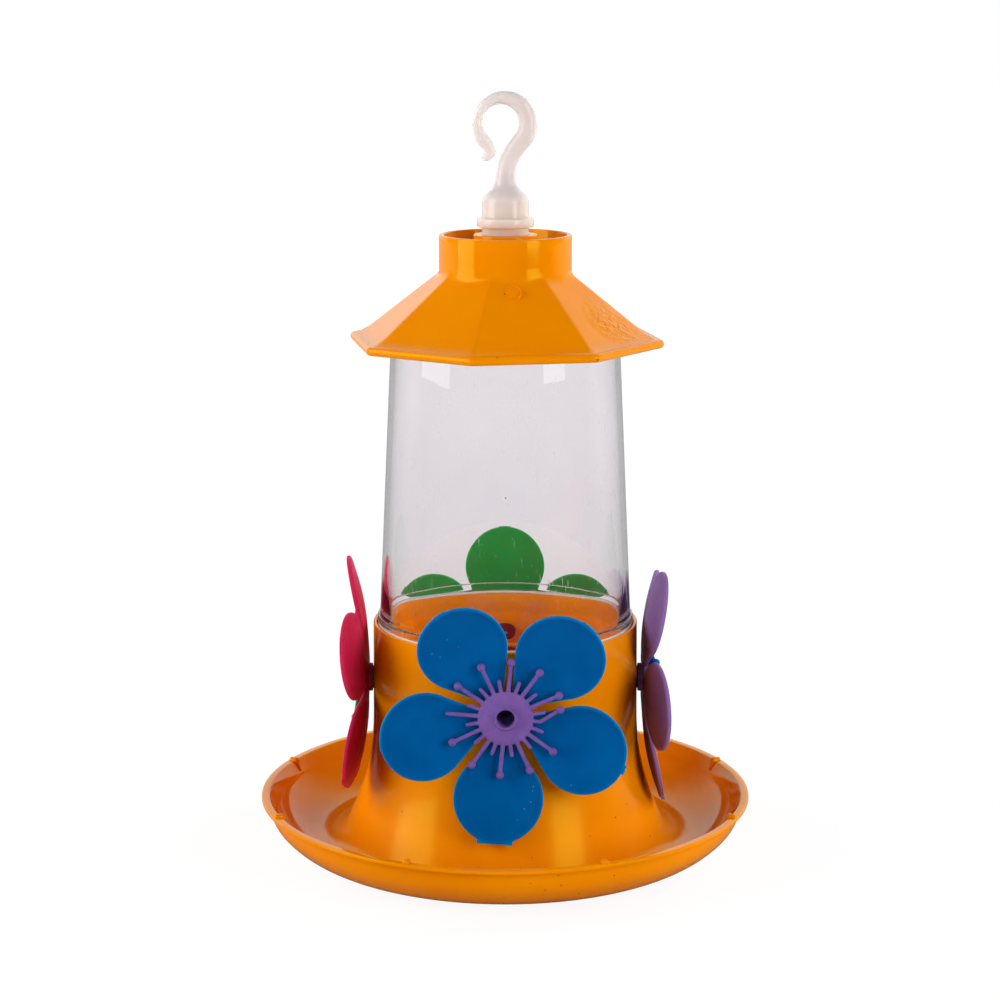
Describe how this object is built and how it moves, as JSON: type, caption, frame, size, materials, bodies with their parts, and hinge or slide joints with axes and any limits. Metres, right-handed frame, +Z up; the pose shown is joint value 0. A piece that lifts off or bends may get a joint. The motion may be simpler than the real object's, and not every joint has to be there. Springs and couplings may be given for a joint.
{
  "type": "hummingbird feeder",
  "caption": "Hanging hummingbird feeder: clear inverted reservoir on a flared column with a saucer tray, octagonal roof, hook and flower-shaped feeding ports.",
  "frame": {"origin": "on the upright axis, at the table under the tray", "axes": "+Z up along the reservoir, -Y towards the front flower, +X to the right of the front"},
  "size_m": [0.16, 0.16, 0.2447],
  "materials": {
    "orange_plastic": "glossy moulding",
    "clear_plastic": "clear, polished",
    "milky_plastic": "milky, satin",
    "seal_rubber": "matt",
    "blue_plastic": "satin moulding",
    "pink_plastic": "satin moulding",
    "purple_plastic": "satin moulding",
    "green_plastic": "satin moulding",
    "pistil_purple": "satin moulding",
    "pistil_green": "satin moulding",
    "pistil_blue": "satin moulding",
    "pistil_red": "satin moulding"
  },
  "bodies": {
    "base": {"base_tray": "orange_plastic"},
    "seal": {"sealing_ring": "seal_rubber"},
    "reservoir": {"reservoir": "clear_plastic"},
    "roof": {"roof": "orange_plastic"},
    "hook": {"hook": "milky_plastic"},
    "front_pistil": {"front_pistil": "pistil_purple"},
    "front_flower": {"front_flower": "blue_plastic"},
    "left_pistil": {"left_pistil": "pistil_green"},
    "left_flower": {"left_flower": "pink_plastic"},
    "right_pistil": {"right_pistil": "pistil_blue"},
    "right_flower": {"right_flower": "purple_plastic"},
    "back_pistil": {"back_pistil": "pistil_red"},
    "back_flower": {"back_flower": "green_plastic"}
  },
  "joints": [
    {"name": "seal_lift", "type": "slide", "parent": "base", "child": "seal", "axis": [0, 0, 1], "range_m": [0, 0.0121]},
    {"name": "reservoir_twist", "type": "hinge", "parent": "seal", "child": "reservoir", "pos_m": [0, 0, 0.075], "axis": [0, 0, 1], "range_deg": [0, 540]},
    {"name": "roof_spin", "type": "hinge", "parent": "reservoir", "child": "roof", "pos_m": [0, 0, 0.185], "axis": [0, 0, 1], "continuous": true},
    {"name": "hook_swivel", "type": "hinge", "parent": "reservoir", "child": "hook", "pos_m": [0, 0, 0.185], "axis": [0, 0, 1], "continuous": true},
    {"name": "front_pull", "type": "slide", "parent": "base", "child": "front_pistil", "axis": [0, -1, 0], "range_m": [0, 0.014]},
    {"name": "front_spin", "type": "hinge", "parent": "front_pistil", "child": "front_flower", "pos_m": [0, -0.045, 0.0555], "axis": [0, -1, 0], "continuous": true},
    {"name": "left_pull", "type": "slide", "parent": "base", "child": "left_pistil", "axis": [-1, 0, 0], "range_m": [0, 0.014]},
    {"name": "left_spin", "type": "hinge", "parent": "left_pistil", "child": "left_flower", "pos_m": [-0.045, 0, 0.0555], "axis": [-1, 0, 0], "continuous": true},
    {"name": "right_pull", "type": "slide", "parent": "base", "child": "right_pistil", "axis": [1, 0, 0], "range_m": [0, 0.014]},
    {"name": "right_spin", "type": "hinge", "parent": "right_pistil", "child": "right_flower", "pos_m": [0.045, 0, 0.0555], "axis": [1, 0, 0], "continuous": true},
    {"name": "back_pull", "type": "slide", "parent": "base", "child": "back_pistil", "axis": [0, 1, 0], "range_m": [0, 0.014]},
    {"name": "back_spin", "type": "hinge", "parent": "back_pistil", "child": "back_flower", "pos_m": [0, 0.045, 0.0555], "axis": [0, 1, 0], "continuous": true}
  ],
  "couplings": [
    {"joint": "seal_lift", "follows": "reservoir_twist", "m_per_rad": 0.0012732}
  ]
}
